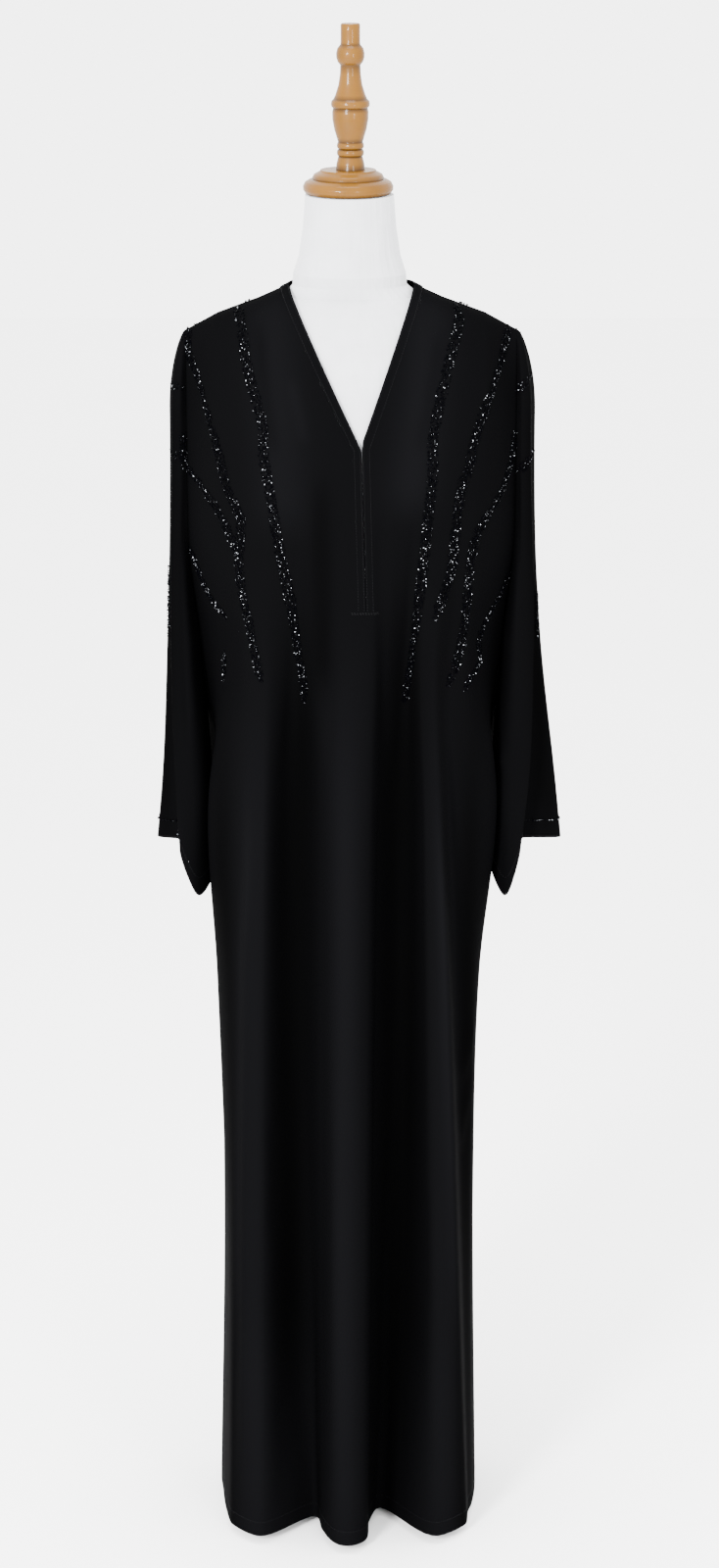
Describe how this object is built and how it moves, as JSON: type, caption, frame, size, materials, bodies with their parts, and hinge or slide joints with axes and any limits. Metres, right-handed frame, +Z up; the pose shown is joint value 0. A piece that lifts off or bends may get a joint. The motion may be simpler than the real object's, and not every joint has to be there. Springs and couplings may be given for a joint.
{
  "type": "abaya cloak on a dress form",
  "caption": "Long black pull-on abaya with a V neck, a centre slit and hanging sleeves, draped on a limbless jersey form with a turned wooden finial.",
  "frame": {"origin": "centre of the underside of the foot, on the floor, under the form's pole", "axes": "+Z up from hem to finial, the wearer faces -Y, +X to the viewer's right seen from the front"},
  "size_m": [0.4715, 0.2905, 1.7924],
  "materials": {
    "black_crepe": "matte crepe with a faint sheen",
    "white_jersey": "matte stretched jersey",
    "varnished_wood": "glossy varnish",
    "painted_steel": "satin black"
  },
  "bodies": {
    "root": {"front": "black_crepe", "back": "black_crepe", "sleeve_left": "black_crepe", "sleeve_right": "black_crepe", "cuff_left": "black_crepe", "cuff_right": "black_crepe", "neckband_left": "black_crepe", "neckband_right": "black_crepe", "neckband_back": "black_crepe", "form_body": "white_jersey", "neck_cap": "varnished_wood", "finial": "varnished_wood", "pole": "painted_steel", "foot": "painted_steel"}
  },
  "joints": []
}
